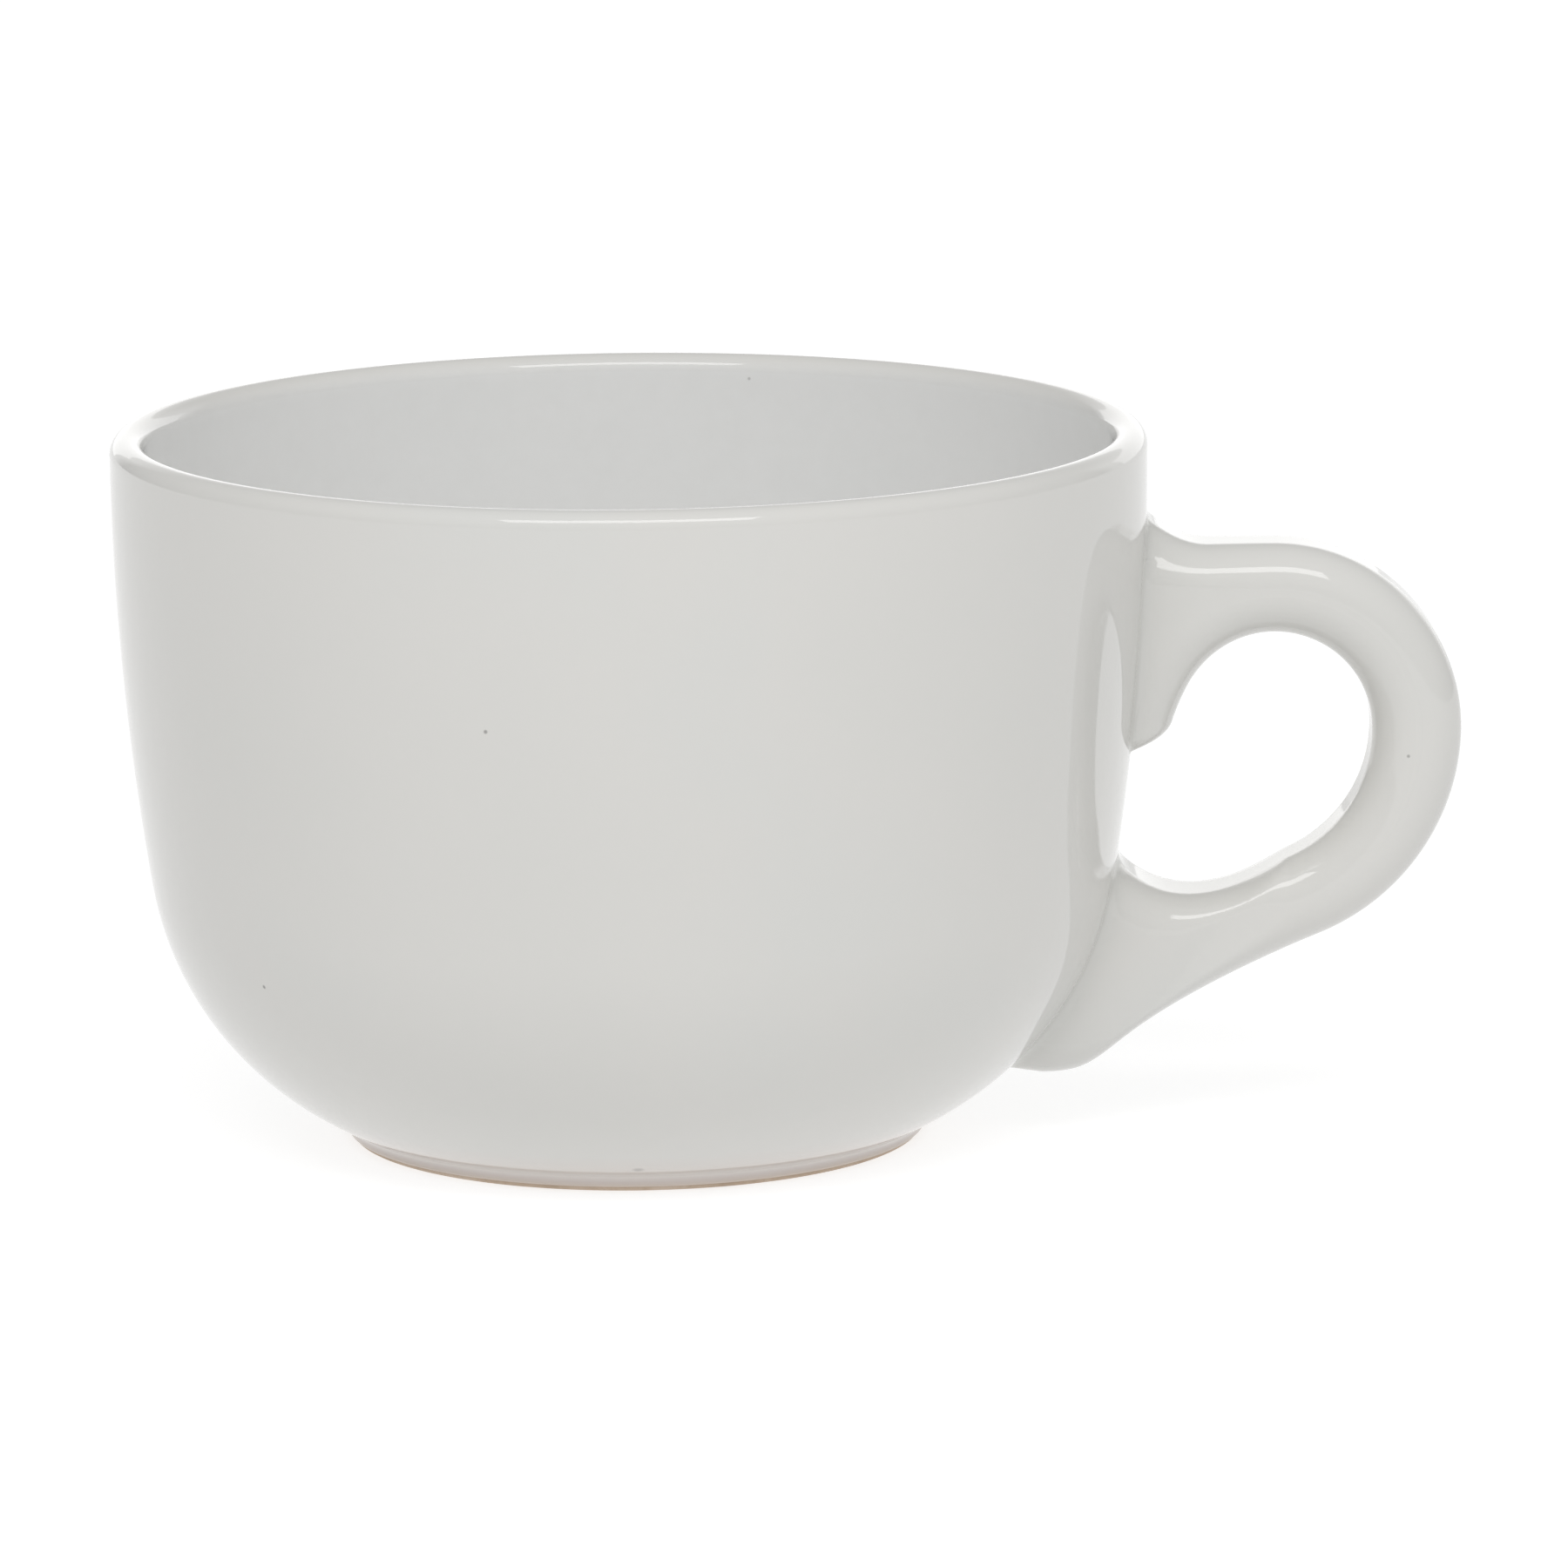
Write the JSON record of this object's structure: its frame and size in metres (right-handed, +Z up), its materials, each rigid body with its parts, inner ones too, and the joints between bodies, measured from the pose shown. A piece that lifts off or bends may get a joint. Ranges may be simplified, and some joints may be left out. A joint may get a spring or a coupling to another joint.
{
  "type": "cappuccino mug",
  "caption": "Wide stoneware cappuccino mug with a round belly, a low bare foot ring and a squared loop handle stuck on with slip, coated in glossy white glaze.",
  "frame": {"origin": "centre of the plane that the foot ring rests on", "axes": "+Z up along the axis of the cup, +X towards the handle, +Y away from the viewer of the picture"},
  "size_m": [0.1368, 0.105, 0.0725],
  "materials": {
    "stoneware": "bare fired stoneware, matt and slightly sandy",
    "slip": "fired slip, matt",
    "white_glaze": "glossy white glaze"
  },
  "bodies": {
    "root": {"cup_body": "stoneware", "handle": "stoneware", "upper_slip_joint": "slip", "lower_slip_joint": "slip", "inside_glaze": "white_glaze", "outside_glaze": "white_glaze", "handle_glaze": "white_glaze", "foot_recess_glaze": "white_glaze"}
  },
  "joints": []
}
